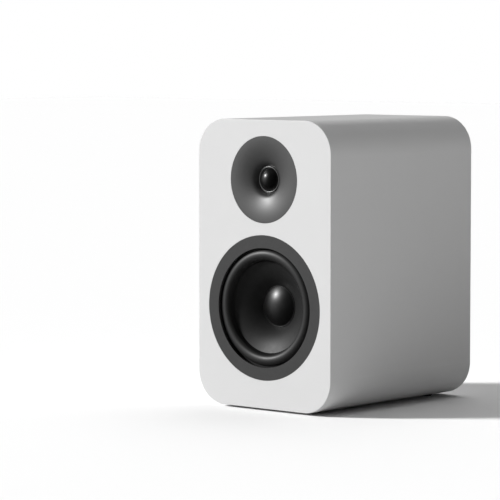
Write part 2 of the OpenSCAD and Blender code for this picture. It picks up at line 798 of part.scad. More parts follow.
module port_inner_flare() {
    flare = arc_points(port_r + 8, port_in_d + 10, -8, -10, 90, 0, 10);
    color("black") from_front(port_z) turned(concat(flare, [
        [port_r + 2.05, port_in_d + 10], [port_r + 2.05, port_in_d + 20],
        [port_r + 4.5, port_in_d + 20], [port_r + 4.5, port_in_d + 10], [port_r + 9.5, port_in_d + 2],
        [port_r + 9.5, port_in_d]]));
}

// ---- wiring ----

// Takes [x, depth behind the front plane, height above the shelf] points to the cabinet's frame.
function inside(points) = [for (p = points) [p[0], front_y + p[1], p[2]]];

// A pair's two colours: red for side -1, black for side 1.
module lead(side, points) {
    color(side < 0 ? "red" : "black") wire(inside(points));
}

// Each lead ends just above the board, pointing straight down at its solder pad.
function landing(x, d) = [[x, d, board_top + 12], [x, d, board_top + 1.4]];

module input_leads() {
    for (s = [-1, 1]) lead(s, concat([
        [s * post_gap / 2, post_back - 0.3, cup_z], [s * 9.5, 196, cup_z - 2], [s * 9, 189, 74],
        [s * 8, 186, 54]], landing(s * 7, 186)));
}

// The woofer's pair runs down the left of the brace's lower window, the tweeter's down its right.
module speaker_leads() {
    for (s = [-1, 1]) {
        lead(s, concat([
            [-55.8, 41, woofer_z + s * 6], [-60.5, 44, woofer_z + s * 5 - 4], [-61, 56, 88 + s * 4],
            [-57, 74, 68 + s * 3], [-52, 92, 54 + s * 3], [-49, 110 + s * 3, 44 + s]],
            landing(-47.5, 126 + s * 4)));
        lead(s, concat([
            [s * 5, tweeter_plate_d + 21.4, tweeter_z - 37], [s * 5, 39, tweeter_z - 39],
            [8 + s * 4, 48, 190], [30 + s * 3, 66, 172 + s * 2], [47 + s * 2.5, 82, 154 + s], [52 + s * 2.5, 98, 124],
            [52 + s * 2.5, 108, 82], [49 + s, 118 + s * 3, 50]], landing(46, 132 + s * 4)));
    }
}

cabinet_shell();
front_baffle();
rear_panel();
window_brace();
foot(-1, -1);  // foot_front_left
foot(1, -1);  // foot_front_right
foot(-1, 1);  // foot_rear_left
foot(1, 1);  // foot_rear_right
wadding(-1);  // wadding_left
wadding(1);  // wadding_right
woofer_trim_ring();
woofer_basket();
woofer_gasket();
woofer_screws();
woofer_top_plate();
woofer_magnet();
woofer_yoke();
woofer_terminal_strip();
woofer_cone();
woofer_dust_cap();
woofer_surround();
woofer_spider();
woofer_coil_former();
woofer_voice_coil();
woofer_tinsel_leads();
tweeter_waveguide();
tweeter_gasket();
tweeter_screws();
tweeter_top_plate();
tweeter_magnet();
tweeter_yoke();
tweeter_rear_chamber();
tweeter_terminals();
tweeter_dome();
tweeter_surround();
tweeter_coil_former();
tweeter_voice_coil();
crossover_board();
woofer_inductor();
tweeter_inductor();
tweeter_capacitor();
woofer_capacitor();
crossover_resistors();
board_standoffs();
board_screws();
terminal_cup();
terminal_gasket();
terminal_screws();
binding_post(-1);  // red_post
binding_post(1);  // black_post
post_nuts();
clamp_washer(-1);  // red_clamp_washer
clamp_washer(1);  // black_clamp_washer
post_knob(-1);  // red_knob
post_knob(1);  // black_knob
port_mouth();
port_tube();
port_inner_flare();
input_leads();
speaker_leads();
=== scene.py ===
"""A white two-way bookshelf speaker on a pale studio floor."""
import math

import bmesh
import bpy
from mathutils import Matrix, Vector, noise
from mathutils.kdtree import KDTree


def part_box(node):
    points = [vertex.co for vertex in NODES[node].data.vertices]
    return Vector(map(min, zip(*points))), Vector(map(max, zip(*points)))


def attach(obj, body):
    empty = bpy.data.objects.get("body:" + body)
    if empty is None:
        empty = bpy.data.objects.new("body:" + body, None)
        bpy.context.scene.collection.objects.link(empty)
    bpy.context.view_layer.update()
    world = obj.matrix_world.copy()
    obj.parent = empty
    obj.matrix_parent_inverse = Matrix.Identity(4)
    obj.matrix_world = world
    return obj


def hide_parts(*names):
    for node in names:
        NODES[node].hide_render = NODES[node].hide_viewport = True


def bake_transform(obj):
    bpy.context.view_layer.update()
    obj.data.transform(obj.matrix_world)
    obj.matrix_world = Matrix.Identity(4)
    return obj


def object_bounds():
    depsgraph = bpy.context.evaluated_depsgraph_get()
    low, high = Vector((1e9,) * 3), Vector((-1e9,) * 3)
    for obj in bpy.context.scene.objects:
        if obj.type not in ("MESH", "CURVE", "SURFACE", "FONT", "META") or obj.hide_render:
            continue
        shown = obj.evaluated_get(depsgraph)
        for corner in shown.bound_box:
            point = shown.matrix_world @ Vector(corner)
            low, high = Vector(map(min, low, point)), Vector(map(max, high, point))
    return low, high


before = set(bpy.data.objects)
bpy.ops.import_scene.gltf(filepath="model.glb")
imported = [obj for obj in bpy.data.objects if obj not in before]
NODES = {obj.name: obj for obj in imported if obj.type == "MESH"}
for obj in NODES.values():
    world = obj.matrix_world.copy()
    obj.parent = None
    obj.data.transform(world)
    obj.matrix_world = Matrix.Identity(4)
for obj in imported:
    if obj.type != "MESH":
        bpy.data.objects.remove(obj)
CAD_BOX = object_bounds()
MM = 0.001


# ---- places, from the frame ----

def centre(node):
    low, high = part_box(node)
    return (low + high) / 2


WOOFER = centre("woofer_trim_ring")
TWEETER = centre("tweeter_top_plate")
FRONT_Y = CAD_BOX[0].y


# ---- camera ----

def toward(azimuth, elevation):
    """A unit vector. Azimuth 0 points to the front of the speaker, and 90 to its right."""
    a, e = math.radians(azimuth), math.radians(elevation)
    return Vector((math.sin(a) * math.cos(e), -math.cos(a) * math.cos(e), math.sin(e)))


VIEW_AZIMUTH = 41.02
VIEW_ELEVATION = 4.27
VIEW_DISTANCE = 2.957
AIM_RIGHT = -0.0921            # of the upright axis through the middle of the cabinet
AIM_HEIGHT = 0.1611
LENS_MM = 199.66


def make_camera():
    back = toward(VIEW_AZIMUTH, VIEW_ELEVATION)
    right = toward(VIEW_AZIMUTH + 90, 0)
    data = bpy.data.cameras.new("camera")
    data.lens, data.sensor_width = LENS_MM, 36
    data.clip_start, data.clip_end = 0.1, 100
    camera = bpy.data.objects.new("camera", data)
    camera.location = right * AIM_RIGHT + Vector((0, 0, AIM_HEIGHT)) + back * VIEW_DISTANCE
    camera.rotation_mode = "QUATERNION"
    camera.rotation_quaternion = (-back).to_track_quat("-Z", "Y")
    bpy.context.scene.collection.objects.link(camera)
    bpy.context.scene.camera = camera


make_camera()


# ---- materials ----

class Shader:
    """A Principled material whose colour, roughness and bump come from patterns in the shared frame."""

    def __init__(self, name, colour, roughness, metallic=0.0, specular=0.5,
                 coat=0.0, coat_roughness=0.1, sheen=0.0):
        self.material = bpy.data.materials.new(name)
        self.material.use_nodes = True
        self.tree = self.material.node_tree
        self.inputs = self.tree.nodes["Principled BSDF"].inputs
        self.colour = (*colour, 1)
        self.roughness = roughness
        self.inputs["Base Color"].default_value = self.colour
        self.inputs["Roughness"].default_value = roughness
        self.inputs["Metallic"].default_value = metallic
        self.inputs["Specular IOR Level"].default_value = specular
        self.inputs["Coat Weight"].default_value = coat
        self.inputs["Coat Roughness"].default_value = coat_roughness
        self.inputs["Sheen Weight"].default_value = sheen
        self.coordinates = self.node("ShaderNodeTexCoord").outputs["Object"]
        self.normal = None

    def node(self, kind, **settings):
        made = self.tree.nodes.new(kind)
        for key, value in settings.items():
            setattr(made, key, value)
        return made

    def link(self, output, socket):
        self.tree.links.new(output, socket)

    def noise(self, grain, detail=3.0, roughness=0.5, stretch=(1, 1, 1)):
        """Noise with features about grain metres across."""
        mapping = self.node("ShaderNodeMapping")
        mapping.inputs["Scale"].default_value = [s / grain for s in stretch]
        self.link(self.coordinates, mapping.inputs["Vector"])
        texture = self.node("ShaderNodeTexNoise")
        texture.inputs["Scale"].default_value = 1.0
        texture.inputs["Detail"].default_value = detail
        texture.inputs["Roughness"].default_value = roughness
        self.link(mapping.outputs["Vector"], texture.inputs["Vector"])
        return texture.outputs["Fac"]

    def mapped(self, value, low, high):
        """A 0.3 to 0.7 pattern stretched between low and high."""
        node = self.node("ShaderNodeMapRange")
        node.inputs["From Min"].default_value = 0.3
        node.inputs["From Max"].default_value = 0.7
        node.inputs["To Min"].default_value = low
        node.inputs["To Max"].default_value = high
        self.link(value, node.inputs["Value"])
        return node.outputs["Result"]

    def math(self, operation, first, second=0.0):
        node = self.node("ShaderNodeMath", operation=operation)
        for socket, value in zip(node.inputs, (first, second)):
            if isinstance(value, (int, float)):
                socket.default_value = value
            else:
                self.link(value, socket)
        return node.outputs["Value"]

    def vary_colour(self, value, other):
        """Mixes another colour over the present one by a 0 to 1 pattern."""
        mix = self.node("ShaderNodeMix", data_type="RGBA")
        self.link(value, mix.inputs["Factor"])
        source = self.inputs["Base Color"]
        if source.is_linked:
            self.link(source.links[0].from_socket, mix.inputs["A"])
        else:
            mix.inputs["A"].default_value = self.colour
        mix.inputs["B"].default_value = (*other, 1)
        self.link(mix.outputs["Result"], source)
        return self

    def vary_roughness(self, value, spread):
        """Lets the roughness wander by up to spread to either side."""
        wandering = self.mapped(value, self.roughness - spread, self.roughness + spread)
        self.link(wandering, self.inputs["Roughness"])
        return self

    def bump(self, value, height):
        """Raises the surface by height metres where the pattern is 1."""
        node = self.node("ShaderNodeBump")
        node.inputs["Distance"].default_value = height
        node.inputs["Strength"].default_value = 1.0
        self.link(value, node.inputs["Height"])
        if self.normal is not None:
            self.link(self.normal, node.inputs["Normal"])
        self.normal = node.outputs["Normal"]
        self.link(self.normal, self.inputs["Normal"])
        return self

    def radius_from(self, point):
        """Distance in metres from the axis through point that runs along Y."""
        split = self.node("ShaderNodeSeparateXYZ")
        self.link(self.coordinates, split.inputs[0])
        dx = self.math("SUBTRACT", split.outputs["X"], point.x)
        dz = self.math("SUBTRACT", split.outputs["Z"], point.z)
        square = self.math("ADD", self.math("MULTIPLY", dx, dx), self.math("MULTIPLY", dz, dz))
        return self.math("SQRT", square)

    def rings(self, point, pitch):
        """Fine turning lines round an axis along Y, pitch metres apart, as a 0 to 1 wave."""
        return self.wave(self.radius_from(point), pitch)

    def along(self, direction):
        """Distance in metres along a direction."""
        dot = self.node("ShaderNodeVectorMath", operation="DOT_PRODUCT")
        self.link(self.coordinates, dot.inputs[0])
        dot.inputs[1].default_value = direction
        return dot.outputs["Value"]

    def wave(self, distance, pitch):
        """A 0 to 1 wave along a distance, pitch metres from crest to crest."""
        wave = self.math("SINE", self.math("MULTIPLY", distance, 2 * math.pi / pitch))
        return self.math("ADD", self.math("MULTIPLY", wave, 0.5), 0.5)

    def cells(self, size):
        """Rounded cells about size metres across; 0 in the middle of each."""
        mapping = self.node("ShaderNodeMapping")
        mapping.inputs["Scale"].default_value = [1 / size] * 3
        self.link(self.coordinates, mapping.inputs["Vector"])
        texture = self.node("ShaderNodeTexVoronoi", feature="F1")
        texture.inputs["Scale"].default_value = 1.0
        self.link(mapping.outputs["Vector"], texture.inputs["Vector"])
        return texture.outputs["Distance"]

    def above(self, value, threshold, softness):
        """0 below the threshold and 1 above it, with a soft step."""
        node = self.node("ShaderNodeMapRange")
        node.inputs["From Min"].default_value = threshold - softness
        node.inputs["From Max"].default_value = threshold + softness
        self.link(value, node.inputs["Value"])
        return node.outputs["Result"]


def grey(value):
    return (value, value, value)


def scaled(colour, by):
    return tuple(min(1.0, c * by) for c in colour)


def lacquer():
    """Satin white paint: a little uneven in tone, with a faint orange peel."""
    s = Shader("white_lacquer", grey(LACQUER), 0.42, specular=0.3)
    s.vary_colour(s.mapped(s.noise(0.05, detail=4), 0.0, 0.4), grey(LACQUER * 0.97))
    s.vary_roughness(s.noise(0.012, detail=4), 0.04)
    s.bump(s.noise(0.0016, detail=2), 0.000006)
    return s.bump(s.noise(0.0004, detail=2), 0.000001).material


def moulded(name, colour, roughness, grain=0.0006, height=0.000012, specular=0.5,
            change=1.25, haze=0.05):
    """Moulded plastic or rubber: uneven tone and gloss, and a fine texture from the mould."""
    s = Shader(name, colour, roughness, specular=specular)
    s.vary_colour(s.mapped(s.noise(0.004, detail=4), 0.0, 0.4), scaled(colour, change))
    s.vary_roughness(s.noise(0.006, detail=4), haze)
    return s.bump(s.noise(grain, detail=3), height).material


def rubbed(name, value, roughness):
    """Smooth black skin with a faint haze from handling."""
    s = Shader(name, grey(value), roughness, specular=0.4)
    s.vary_colour(s.mapped(s.noise(0.008, detail=5), 0.0, 0.5), grey(value * 1.3))
    s.vary_roughness(s.noise(0.006, detail=4), 0.02)
    return s.bump(s.noise(0.0012, detail=2), 0.0000004).material


def pulp_cone():
    """Coated cone: faint rings from its mould under a satin skin."""
    s = Shader("cone_black", grey(0.011), 0.47, specular=0.25)
    s.vary_colour(s.mapped(s.noise(0.005, detail=5), 0.0, 0.5), grey(0.015))
    s.vary_roughness(s.noise(0.004, detail=4), 0.015)
    s.bump(s.rings(WOOFER, 0.0011), 0.0000015)
    return s.bump(s.noise(0.0005, detail=2), 0.000001).material


def metal(name, colour, roughness, stain=0.85):
    """Plated or blackened metal: stained in patches and slightly uneven."""
    s = Shader(name, colour, roughness, metallic=1.0)
    s.vary_colour(s.mapped(s.noise(0.005, detail=4), 0.0, 0.5), scaled(colour, stain))
    s.vary_roughness(s.noise(0.003, detail=5), 0.08)
    return s.bump(s.noise(0.0008, detail=3), 0.000004).material


def turned_steel(name, point):
    """Zinc plate over a face turned in a lathe."""
    s = Shader(name, (0.60, 0.61, 0.63), 0.30, metallic=1.0)
    s.vary_colour(s.mapped(s.noise(0.006, detail=5), 0.0, 0.6), (0.52, 0.53, 0.50))
    s.vary_roughness(s.noise(0.002, detail=5), 0.08)
    s.bump(s.rings(point, 0.0004), 0.000006)
    return s.bump(s.noise(0.0006, detail=2), 0.000003).material


def ferrite():
    """Ground ceramic magnet: dark grey, slightly grainy, with pale scuffs."""
    s = Shader("ferrite", (0.040, 0.040, 0.044), 0.55, specular=0.5)
    s.vary_colour(s.mapped(s.noise(0.002, detail=6), 0.0, 0.6), (0.075, 0.074, 0.076))
    s.vary_colour(s.above(s.noise(0.009, detail=8, roughness=0.7), 0.60, 0.02), (0.12, 0.12, 0.12))
    return s.bump(s.noise(0.0003, detail=4), 0.00002).material


def fibreboard():
    """Sawn and sanded fibreboard: tan, with darker fibres and open pores."""
    s = Shader("bare_board", (0.46, 0.33, 0.20), 0.85, specular=0.2)
    fibres = s.noise(0.0012, detail=6, stretch=(1, 0.3, 1))
    s.vary_colour(s.mapped(fibres, 0.0, 0.7), (0.31, 0.20, 0.11))
    s.vary_colour(s.above(s.noise(0.0006, detail=4), 0.62, 0.04), (0.17, 0.10, 0.05))
    return s.bump(s.noise(0.0004, detail=5), 0.00004).material


def felt():
    """Grey polyester felt: tangled pale and dark fibres with a soft sheen."""
    s = Shader("felt", (0.36, 0.36, 0.37), 0.95, specular=0.1, sheen=0.4)
    upright, lying = (1, 4, 0.6), (1, 0.6, 4)
    s.vary_colour(s.mapped(s.noise(0.0008, detail=6, stretch=upright), 0.0, 0.7), (0.56, 0.56, 0.55))
    s.vary_colour(s.above(s.noise(0.0008, detail=6, stretch=lying), 0.60, 0.03), (0.13, 0.14, 0.17))
    s.bump(s.noise(0.0007, detail=6, stretch=(1, 4, 1)), 0.0002)
    return s.bump(s.noise(0.006, detail=2), 0.0006).material


def foam():
    """Closed-cell foam: small pits all over a dull black skin."""
    s = Shader("black_foam", grey(0.018), 0.85, specular=0.3)
    s.vary_colour(s.mapped(s.noise(0.002, detail=4), 0.0, 0.6), grey(0.035))
    return s.bump(s.cells(0.0006), 0.00008).material


def powder_coat():
    """Cast metal under black powder: orange peel over the coarser skin of the casting."""
    s = Shader("black_casting", grey(0.020), 0.42, specular=0.5)
    s.vary_roughness(s.noise(0.004, detail=4), 0.06)
    s.vary_colour(s.mapped(s.noise(0.01, detail=4), 0.0, 0.5), grey(0.028))
    s.bump(s.noise(0.003, detail=2), 0.00003)
    return s.bump(s.noise(0.0007, detail=2), 0.00001).material


def fibre_strip():
    """Brown phenolic board with streaks of fibre."""
    s = Shader("brown_fibre", (0.20, 0.085, 0.030), 0.6, specular=0.3)
    streaks = s.noise(0.0008, detail=6, stretch=(1, 1, 0.2))
    s.vary_colour(s.mapped(streaks, 0.0, 0.7), (0.30, 0.14, 0.055))
    return s.bump(s.noise(0.0003, detail=4, stretch=(1, 1, 0.3)), 0.00001).material


def woven(name, colour, dark, pitch, roughness, height):
    """Plain weave in the XZ plane: threads go over and under each other."""
    s = Shader(name, colour, roughness, specular=0.3, sheen=0.2)
    across, upward = s.wave(s.along((1, 0, 0)), pitch), s.wave(s.along((0, 0, 1)), pitch)
    over = s.math("ABSOLUTE", s.math("SUBTRACT", across, upward))
    s.vary_colour(over, dark)
    s.vary_colour(s.mapped(s.noise(0.004, detail=4), 0.0, 0.4), scaled(colour, 1.25))
    return s.bump(over, height).material


def winding(name, direction, pitch):
    """Enamelled wire laid side by side along a direction, paler on the crests and darker in the grooves
    between turns: painted highlight and painted shade.
    """
    s = Shader(name, (0.62, 0.22, 0.075), 0.28, metallic=1.0, coat=0.4, coat_roughness=0.15)
    lay = s.wave(s.along(direction), pitch)
    # Painted light and shade: the crests of the turns are paler and the grooves between them keep the
    # darker base colour.
    s.vary_colour(s.above(lay, 0.12, 0.1), (0.78, 0.33, 0.13))
    s.vary_roughness(s.noise(0.003, detail=4), 0.06)
    return s.bump(lay, pitch * 0.3).material


def braid():
    """Copper tinsel: strands braided round a thread, paler where the strands stand highest (painted
    highlight) and darker between them (painted shade).
    """
    s = Shader("tinsel_braid", (0.70, 0.30, 0.13), 0.35, metallic=1.0)
    one = s.wave(s.along((0.6, 0.6, 0.5)), 0.0005)
    two = s.wave(s.along((0.6, 0.6, -0.5)), 0.0005)
    lay = s.math("MULTIPLY", one, two)
    # Painted highlight and shade: the colour is paler exactly where the bump raises the strands.
    s.vary_colour(lay, (0.86, 0.46, 0.24))
    return s.bump(lay, 0.00008).material


def circuit_board():
    """Green solder mask over copper tracks, which show as paler, slightly raised islands."""
    s = Shader("board_green", (0.008, 0.075, 0.022), 0.32, specular=0.5, coat=0.3)
    tracks = s.above(s.noise(0.011, detail=0), 0.5, 0.006)
    s.vary_colour(tracks, (0.020, 0.17, 0.050))
    s.vary_roughness(s.noise(0.002, detail=4), 0.05)
    s.bump(tracks, 0.00004)
    return s.bump(s.noise(0.0004, detail=3), 0.000006).material


def film_wrap():
    """Tape-wrapped film capacitor: yellow tape in overlapping turns."""
    s = Shader("capacitor_film", (0.72, 0.43, 0.035), 0.34, specular=0.5, coat=0.2)
    s.vary_colour(s.mapped(s.noise(0.004, detail=5), 0.0, 0.5), (0.62, 0.34, 0.03))
    s.vary_roughness(s.noise(0.002, detail=5), 0.07)
    s.bump(s.wave(s.along((1, 0.15, 0)), 0.0065), 0.00004)
    return s.bump(s.noise(0.0008, detail=3), 0.00001).material


def cement():
    """The gritty off-white body of a wire-wound resistor."""
    s = Shader("resistor_white", (0.70, 0.68, 0.60), 0.8, specular=0.3)
    s.vary_colour(s.above(s.noise(0.0006, detail=6), 0.60, 0.03), (0.50, 0.47, 0.40))
    return s.bump(s.noise(0.0003, detail=5), 0.00003).material


def foil():
    """Aluminium foil rolled into a tube: fine lines round it and small creases."""
    s = Shader("bare_aluminium", grey(0.80), 0.24, metallic=1.0)
    s.vary_roughness(s.noise(0.001, detail=5, stretch=(1, 8, 1)), 0.08)
    return s.bump(s.noise(0.003, detail=5), 0.00002).material


def insulation(name, colour):
    """Soft PVC round a wire."""
    s = Shader(name, colour, 0.4, specular=0.45)
    s.vary_colour(s.mapped(s.noise(0.003, detail=4), 0.0, 0.4), scaled(colour, 1.3))
    s.vary_roughness(s.noise(0.0015, detail=4), 0.07)
    return s.bump(s.noise(0.0006, detail=3), 0.00002).material


LACQUER = 0.635
WHITE = lacquer()
TRIM = moulded("grey_trim", grey(0.035), 0.45, specular=0.3, haze=0.02)
GUIDE = moulded("grey_guide", grey(0.027), 0.44, height=0.000001, specular=0.75, haze=0.01)
CONE = pulp_cone()
CAP = rubbed("cap_black", 0.003, 0.355)
ROLL = moulded("surround_rubber", grey(0.012), 0.45, height=0.000003, specular=0.36, haze=0.02)
# The bead's grey is lighter than dark rubber: partly its own colour, partly a painted glint that stands
# for the light its rounded crest catches all round.
BEAD = moulded("bead_rubber", grey(0.05), 0.32, height=0.000001, specular=0.8, haze=0.02)
DOME = rubbed("dome_black", 0.004, 0.30)
BLACK = moulded("black_plastic", grey(0.018), 0.45)
FOOT = moulded("foot_rubber", grey(0.02), 0.7, grain=0.0004, height=0.00003)
NYLON = moulded("natural_nylon", (0.70, 0.69, 0.63), 0.45, change=1.1)
BOBBIN = moulded("bobbin_ivory", (0.66, 0.62, 0.50), 0.45, change=1.1)
GOLD = metal("gold_plate", (0.95, 0.66, 0.26), 0.18, stain=0.93)
STEEL = metal("zinc_steel", (0.60, 0.61, 0.63), 0.32)
DARK_STEEL = metal("black_steel", grey(0.06), 0.4, stain=1.4)
RED = moulded("knob_red", (0.36, 0.008, 0.008), 0.28, height=0.000008)
KNOB_BLACK = moulded("knob_black", grey(0.012), 0.28, height=0.000008)
CASTING = powder_coat()
FOAM = foam()
FERRITE = ferrite()
FIBRE = fibre_strip()
ALUMINIUM = foil()
COIL_WIRE = winding("coil_wire", (0, 1, 0), 0.0003)
UPRIGHT_WIRE = winding("upright_wire", (0, 0, 1), 0.0011)
CROSSWISE_WIRE = winding("crosswise_wire", (1, 0, 0), 0.0008)
SPIDER = woven("spider_cloth", (0.42, 0.23, 0.075), (0.16, 0.075, 0.02), 0.0009, 0.7, 0.00012)
FELT = felt()
RED_WIRE = insulation("red_wire", (0.30, 0.010, 0.008))
BLACK_WIRE = insulation("black_wire", grey(0.014))


def set_materials(mesh, materials):
    mesh.materials.clear()
    for material in materials:
        mesh.materials.append(material)


def shade(material, *names):
    """Gives whole nodes one material."""
    for name in names:
        set_materials(NODES[name].data, [material])


def shade_parts(name, materials, choose):
    """Gives each face of a node the material whose number choose(its middle) returns."""
    mesh = NODES[name].data
    set_materials(mesh, materials)
    for face in mesh.polygons:
        face.material_index = choose(face.center)


def joined_to(seed):
    """The vertices of the piece that seed belongs to, with seed first."""
    found, seen = [seed], {seed}
    for vertex in found:
        for edge in vertex.link_edges:
            other = edge.other_vert(vertex)
            if other not in seen:
                seen.add(other)
                found.append(other)
    return found


def shade_pieces(name, materials, choose):
    """Gives each separate piece of a node the material whose number choose(its corners) returns."""
    mesh = NODES[name].data
    set_materials(mesh, materials)
    welded = bmesh.new()
    welded.from_mesh(mesh)
    bmesh.ops.remove_doubles(welded, verts=welded.verts, dist=1e-6)
    welded.verts.index_update()
    numbers = {}
    for seed in welded.verts:
        if seed.index not in numbers:
            piece = joined_to(seed)
            number = choose([vertex.co for vertex in piece])
            numbers.update((vertex.index, number) for vertex in piece)
    tree = KDTree(len(welded.verts))
    for vertex in welded.verts:
        tree.insert(vertex.co, vertex.index)
    tree.balance()
    for face in mesh.polygons:
        nearest = tree.find(mesh.vertices[face.vertices[0]].co)[1]
        face.material_index = numbers[nearest]
    welded.free()


WOOFER_PAIR_X = -30 * MM        # the woofer's pair ends to the left of this, the tweeter's to its right


def input_lead_colour(piece):
    """Red for the wire on the left of the pair and black for the other."""
    return 0 if piece[0].x < 0 else 1


def speaker_lead_colour(piece):
    """Red for one wire of a pair and black for the other, told apart at their front ends."""
    end = min(piece, key=lambda corner: corner.y)
    side = end.z - WOOFER.z if end.x < WOOFER_PAIR_X else end.x
    return 0 if side < 0 else 1


STRIP_FACE = 47.06 * MM         # from the woofer's axis to the face that its spade tabs stand on
HOLDER_BACK = 13.1 * MM         # from the middle of the tweeter's top plate to the back of its holder


def is_strip_tab(point):
    return 1 if point.x < WOOFER.x - STRIP_FACE else 0


def is_holder_tab(point):
    return 1 if point.y > TWEETER.y + HOLDER_BACK else 0


def is_wound(node, axis, core):
    """A test for faces of the winding between a bobbin's two flanges, outside its core's radius."""
    low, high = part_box(node)
    middle = (low + high) / 2
    flange = 1.6 * MM

    def choose(point):
        inside = low[axis] + flange < point[axis] < high[axis] - flange
        away = point - middle
        away[axis] = 0
        return 1 if inside and away.length > core else 0

    return choose


def is_lead(node):
    """A test for faces of the two leads at a capacitor's ends."""
    low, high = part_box(node)
    reach = 3.1 * MM

    def choose(point):
        return 1 if point.x < low.x + reach or point.x > high.x - reach else 0

    return choose


shade(WHITE, "cabinet_shell", "front_baffle", "rear_panel")
shade(fibreboard(), "window_brace")
shade(FOOT, "foot_front_left", "foot_front_right", "foot_rear_left", "foot_rear_right")
shade(TRIM, "woofer_trim_ring")
shade(GUIDE, "tweeter_waveguide")
shade(CONE, "woofer_cone")
shade(CAP, "woofer_dust_cap")
shade(DOME, "tweeter_dome")
shade(CASTING, "woofer_basket")
shade(FOAM, "woofer_gasket", "tweeter_gasket", "terminal_gasket")
shade(DARK_STEEL, "woofer_screws", "tweeter_screws", "terminal_screws")
shade(turned_steel("woofer_steel", WOOFER), "woofer_top_plate", "woofer_yoke")
shade(turned_steel("tweeter_steel", TWEETER), "tweeter_top_plate", "tweeter_yoke")
shade(FERRITE, "woofer_magnet", "tweeter_magnet")
shade(ALUMINIUM, "woofer_coil_former", "tweeter_coil_former")
shade(COIL_WIRE, "woofer_voice_coil", "tweeter_voice_coil")
shade(BLACK, "terminal_cup", "port_mouth", "port_tube", "port_inner_flare", "tweeter_rear_chamber")
shade(GOLD, "red_post", "black_post", "red_clamp_washer", "black_clamp_washer")
shade(RED, "red_knob")
shade(KNOB_BLACK, "black_knob")
shade(STEEL, "post_nuts", "board_screws")
shade(NYLON, "board_standoffs")
shade(circuit_board(), "crossover_board")
shade(cement(), "crossover_resistors")
shade_parts("woofer_terminal_strip", [FIBRE, GOLD], is_strip_tab)
shade_parts("tweeter_terminals", [BLACK, GOLD], is_holder_tab)
X_AXIS, Z_AXIS = 0, 2
shade_parts("woofer_inductor", [BOBBIN, UPRIGHT_WIRE], is_wound("woofer_inductor", Z_AXIS, 9.8 * MM))
shade_parts("tweeter_inductor", [BOBBIN, CROSSWISE_WIRE], is_wound("tweeter_inductor", X_AXIS, 6.8 * MM))
FILM = film_wrap()
shade_parts("tweeter_capacitor", [FILM, STEEL], is_lead("tweeter_capacitor"))
shade_parts("woofer_capacitor", [FILM, STEEL], is_lead("woofer_capacitor"))
shade_pieces("input_leads", [RED_WIRE, BLACK_WIRE], input_lead_colour)
shade_pieces("speaker_leads", [RED_WIRE, BLACK_WIRE], speaker_lead_colour)


# ---- pieces made here: surrounds, spider, tinsel leads and felt ----

def arc(centre_r, centre_d, radius_r, radius_d, start, end, count):
    """Points of (radius, depth) along an elliptic arc that bulges forwards, from start to end degrees."""
    turns = [math.radians(start + (end - start) * i / count) for i in range(count + 1)]
    return [(centre_r + radius_r * math.cos(a), centre_d - radius_d * math.sin(a)) for a in turns]


def add_piece(mesh, material, sharp=38):
    """Links a mesh into the scene under its own name, smooth but for edges sharper than sharp degrees."""
    mesh.shade_smooth()
    mesh.set_sharp_from_angle(angle=math.radians(sharp))
    mesh.materials.append(material)
    piece = bpy.data.objects.new(mesh.name, mesh)
    bpy.context.scene.collection.objects.link(piece)
    return piece


def piece_from_lists(name, vertices, faces, material):
    mesh = bpy.data.meshes.new(name)
    mesh.from_pydata(vertices, [], faces)
    mesh.validate()
    return add_piece(mesh, material)


def lathe(name, outline, axis, material, around=144):
    """Turns a closed outline of (radius, depth) points in millimetres round an axis along Y."""
    count = len(outline)
    vertices, faces = [], []
    for i in range(around):
        a = 2 * math.pi * i / around
        for radius, depth in outline:
            vertices.append((axis.x + radius * MM * math.cos(a), FRONT_Y + depth * MM,
                             axis.z + radius * MM * math.sin(a)))
    for i in range(around):
        j = (i + 1) % around
        for k in range(count):
            m = (k + 1) % count
            faces.append((i * count + k, i * count + m, j * count + m, j * count + k))
    return piece_from_lists(name, vertices, faces, material)


def stretch_between(piece):
    """Bakes the piece's placement into its mesh."""
    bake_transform(piece)


# The woofer's surround in millimetres, as in the CAD: depths are behind the front plane.
CONE_R, CONE_D, CONE_SKIN = 47.6, 8.3, 0.8
ROLL_R, ROLL_HALF_W, ROLL_H = 54.9, 6.1, 4.8
LIP_R, LIP_D, LIP_T = 64.5, 5.8, 0.7
TUCK_R = CONE_R - 3             # how far in the skirt reaches behind the cone
TUCK_T = 0.5
GLUE = 0.05


def cone_depth(radius):
    """The cone's front face outside the dust cap."""
    inwards = CONE_R - radius
    return CONE_D + 0.4 * inwards + 0.00038 * inwards ** 3


def woofer_surround():
    """A flat lip, a half roll, and a skirt that turns in behind the edge of the cone."""
    over = arc(ROLL_R, LIP_D, ROLL_HALF_W, ROLL_H, 0, 180, 36)
    under = arc(ROLL_R, LIP_D + LIP_T, ROLL_HALF_W - LIP_T, ROLL_H - LIP_T, 180, 0, 24)
    edge = CONE_D + CONE_SKIN + GLUE
    tuck = cone_depth(TUCK_R) + CONE_SKIN + GLUE
    skirt = [(CONE_R + 0.15, CONE_D - 0.3), (CONE_R + 0.15, edge), (TUCK_R, tuck),
             (TUCK_R, tuck + TUCK_T), (CONE_R + 0.8, edge + TUCK_T)]
    outline = [(LIP_R, LIP_D)] + over + skirt + under + [(LIP_R, LIP_D + LIP_T)]
    piece = lathe("woofer_roll", outline, WOOFER, ROLL, around=192)
    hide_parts("woofer_surround")
    stretch_between(piece)


# The woofer's spider in millimetres.
SPIDER_D = 36.2
SPIDER_COLLAR_R, SPIDER_CLOTH_R = 12.7, 13.45
SPIDER_FLAT_R, SPIDER_R = 37.0, 41.0
SPIDER_T = 0.5
SPIDER_WAVES, SPIDER_WAVE_H = 5, 1.5
JOIN = 0.01                     # how far the cloth and its collar overlap


def spider_depth(t):
    """Corrugations that fade out at both ends, with t from 0 at the collar to 1 at the flat rim."""
    fade = math.sin(math.pi * t)
    return SPIDER_D + SPIDER_WAVE_H * math.sin(2 * math.pi * SPIDER_WAVES * t) * fade


